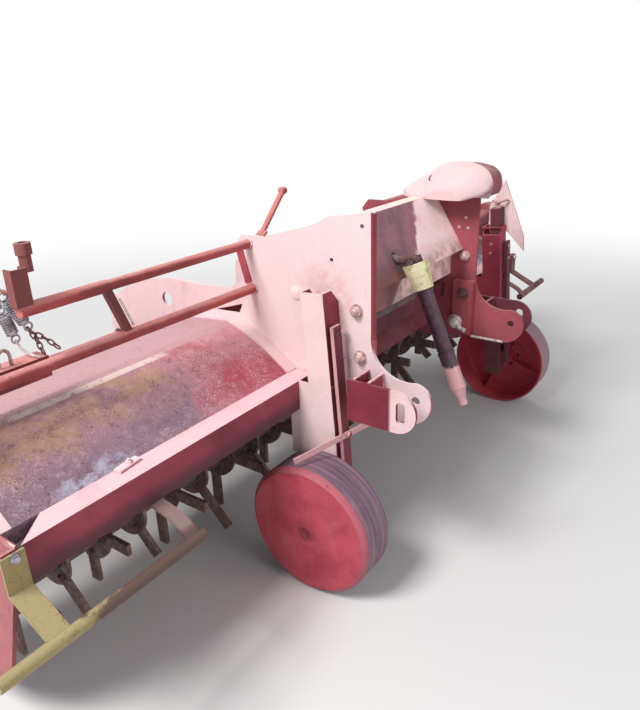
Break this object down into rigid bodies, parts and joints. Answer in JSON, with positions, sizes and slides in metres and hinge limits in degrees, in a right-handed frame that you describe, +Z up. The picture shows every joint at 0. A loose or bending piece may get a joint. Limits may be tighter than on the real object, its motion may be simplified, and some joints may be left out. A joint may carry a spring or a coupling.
{
  "type": "potato ridge former",
  "caption": "Power-driven ridge former: a hooded tined rotor on a three-point headstock, depth wheels in front and a hinged row of trough-shaped ridging bodies behind.",
  "frame": {"origin": "on the ground, in the middle of the machine's width and length", "axes": "+Z up, X along the working width, -Y towards the tractor, +Y to the ridging bodies"},
  "size_m": [3.58, 1.702, 1.4083],
  "materials": {
    "faded_red": "sun-bleached, chalky",
    "red_paint": "weathered satin",
    "dark_red": "dull",
    "hood_red": "scuffed, soil-stained",
    "wheel_red": "faded, worn at the rim",
    "ochre_rail": "oxidised",
    "cast_grey": "oily, dusty",
    "spring_steel": "dull",
    "shaft_steel": "worn",
    "bare_steel": "soil-polished with rust",
    "cone_yellow": "aged, matte"
  },
  "bodies": {
    "frame": {"headstock_plate_left": "faded_red", "headstock_plate_right": "red_paint", "headstock_cowl": "faded_red", "drive_cover": "faded_red", "gearbox_bridge": "dark_red", "gearbox": "cast_grey", "centre_hood": "hood_red", "cross_tube": "dark_red", "front_beam_left": "red_paint", "front_beam_right": "red_paint", "rotor_hood_left": "hood_red", "rotor_hood_right": "hood_red", "end_plate_left": "red_paint", "end_plate_right": "red_paint", "low_rail_left": "red_paint", "low_rail_right": "red_paint", "high_rail_left": "ochre_rail", "high_rail_right": "ochre_rail", "rail_strap_left": "red_paint", "rail_strap_right": "red_paint", "spring_bracket_left": "red_paint", "spring_bracket_right": "red_paint", "anchor_channel_left": "red_paint", "anchor_channel_right": "red_paint", "relief_springs_left": "spring_steel", "relief_springs_right": "spring_steel", "guard_rail_left": "red_paint", "guard_rail_right": "red_paint", "hitch_ear_left": "red_paint", "hitch_ear_right": "red_paint", "leg_holder_left": "red_paint", "leg_holder_right": "red_paint", "drive_tube": "red_paint", "side_drive_case": "red_paint"},
    "rotor": {"rotor": "bare_steel"},
    "wheel_leg_left": {"wheel_leg_left": "dark_red"},
    "wheel_leg_right": {"wheel_leg_right": "dark_red"},
    "land_wheel_left": {"land_wheel_left": "wheel_red"},
    "land_wheel_right": {"land_wheel_right": "wheel_red"},
    "ridger": {"ridger_arm_left": "red_paint", "ridger_arm_right": "red_paint", "ridger_beam": "red_paint", "ridging_body_1": "bare_steel", "ridging_body_2": "bare_steel", "ridging_body_3": "bare_steel", "ridging_body_4": "bare_steel"},
    "pto": {"pto_shaft": "shaft_steel", "pto_cone": "cone_yellow"}
  },
  "joints": [
    {"name": "rotor_spin", "type": "hinge", "parent": "frame", "child": "rotor", "pos_m": [0, 0.021, 0.37], "axis": [1, 0, 0], "continuous": true},
    {"name": "wheel_height_left", "type": "slide", "parent": "frame", "child": "wheel_leg_left", "axis": [0, 0.0732, 0.9973], "range_m": [-0.1, 0.03]},
    {"name": "wheel_height_right", "type": "slide", "parent": "frame", "child": "wheel_leg_right", "axis": [0, 0.0732, 0.9973], "range_m": [-0.1, 0.03]},
    {"name": "wheel_spin_left", "type": "hinge", "parent": "wheel_leg_left", "child": "land_wheel_left", "pos_m": [-0.627, -0.506, 0.25], "axis": [1, 0, 0], "continuous": true},
    {"name": "wheel_spin_right", "type": "hinge", "parent": "wheel_leg_right", "child": "land_wheel_right", "pos_m": [1.225, -0.506, 0.25], "axis": [1, 0, 0], "continuous": true},
    {"name": "ridger_hinge", "type": "hinge", "parent": "frame", "child": "ridger", "pos_m": [0, -0.119, 1.028], "axis": [1, 0, 0], "range_deg": [-6, 0]},
    {"name": "power_shaft_hinge", "type": "hinge", "parent": "frame", "child": "pto", "pos_m": [-0.095, -0.5975, 1.107], "axis": [-1, 0, 0], "range_deg": [0, 67]}
  ]
}
